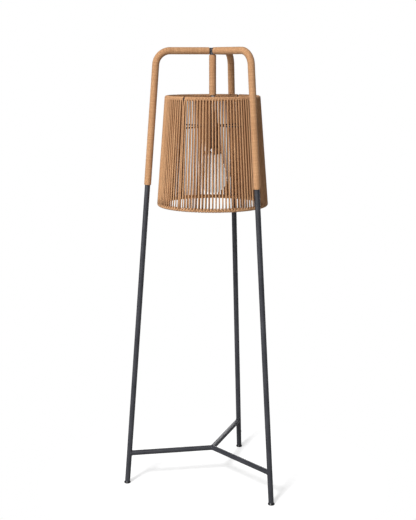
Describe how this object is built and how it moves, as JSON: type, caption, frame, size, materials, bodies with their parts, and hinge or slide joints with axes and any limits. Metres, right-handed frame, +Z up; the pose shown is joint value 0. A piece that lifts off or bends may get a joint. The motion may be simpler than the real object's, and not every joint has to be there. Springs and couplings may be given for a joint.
{
  "type": "floor lamp",
  "caption": "Outdoor floor lamp: three bent tube legs joined at the top, with a cord-wound conical shade hung on a short stem between them and a brace near the floor.",
  "frame": {"origin": "on the lamp's vertical axis, at floor level", "axes": "+Z up along the axis, the front is -Y, +X to the right seen from the front"},
  "size_m": [0.5178, 0.5416, 1.5001],
  "materials": {
    "powder_coat": "fine satin powder coat, charcoal",
    "wrap_cord": "thin matte outdoor cord, closely wound",
    "shade_cord": "round matte outdoor cord",
    "black_plastic": "moulded, matte",
    "holder_plastic": "moulded, satin",
    "porcelain": "glazed",
    "contact_brass": "bright",
    "rubber": "soft, matte",
    "opal": "opal, satin",
    "bulb_metal": "satin",
    "cap_metal": "nickel-plated",
    "zinc": "zinc-plated",
    "white_board": "coated circuit plate",
    "green_board": "circuit board"
  },
  "bodies": {
    "lamp": {"top_hub": "powder_coat", "leg_left": "powder_coat", "leg_right": "powder_coat", "leg_rear": "powder_coat", "wrap_left": "wrap_cord", "wrap_right": "wrap_cord", "wrap_rear": "wrap_cord", "stem_tube": "powder_coat", "stem_wrap": "wrap_cord", "brace_left": "powder_coat", "brace_right": "powder_coat", "brace_rear": "powder_coat", "glide_left": "black_plastic", "glide_right": "black_plastic", "glide_rear": "black_plastic", "stem_bush": "powder_coat", "threaded_tube": "zinc", "lock_nuts": "zinc", "lampholder_cap": "holder_plastic", "lampholder_skirt": "holder_plastic", "lampholder_insert": "porcelain", "contact_shell": "contact_brass", "centre_spring": "contact_brass", "mouth_seal": "rubber", "shade_top_ring": "powder_coat", "shade_bottom_ring": "powder_coat", "shade_rib_1": "powder_coat", "shade_rib_2": "powder_coat", "shade_rib_3": "powder_coat", "shade_rib_4": "powder_coat", "spider_gallery": "powder_coat", "spider_arm_1": "powder_coat", "spider_arm_2": "powder_coat", "spider_arm_3": "powder_coat", "spider_arm_4": "powder_coat", "shade_outer_cords": "shade_cord", "shade_inner_cords": "shade_cord", "top_ring_binding": "shade_cord", "bottom_ring_binding": "shade_cord", "cable_grommet": "rubber", "inner_flex": "black_plastic"},
    "bulb_tip": {"bulb_contact": "cap_metal"},
    "bulb": {"bulb_diffuser": "opal", "bulb_housing": "bulb_metal", "bulb_screw_cap": "cap_metal", "bulb_insulator": "black_plastic", "bulb_led_plate": "white_board", "bulb_driver": "green_board"}
  },
  "joints": [
    {"name": "bulb_travel", "type": "slide", "parent": "lamp", "child": "bulb_tip", "axis": [0, 0, -1], "range_m": [0, 0.0165]},
    {"name": "bulb_turn", "type": "hinge", "parent": "bulb_tip", "child": "bulb", "pos_m": [0, 0, 1.15], "axis": [0, 0, -1], "range_deg": [0, 1620]}
  ],
  "couplings": [
    {"joint": "bulb_travel", "follows": "bulb_turn", "m_per_rad": 0.00057773}
  ]
}
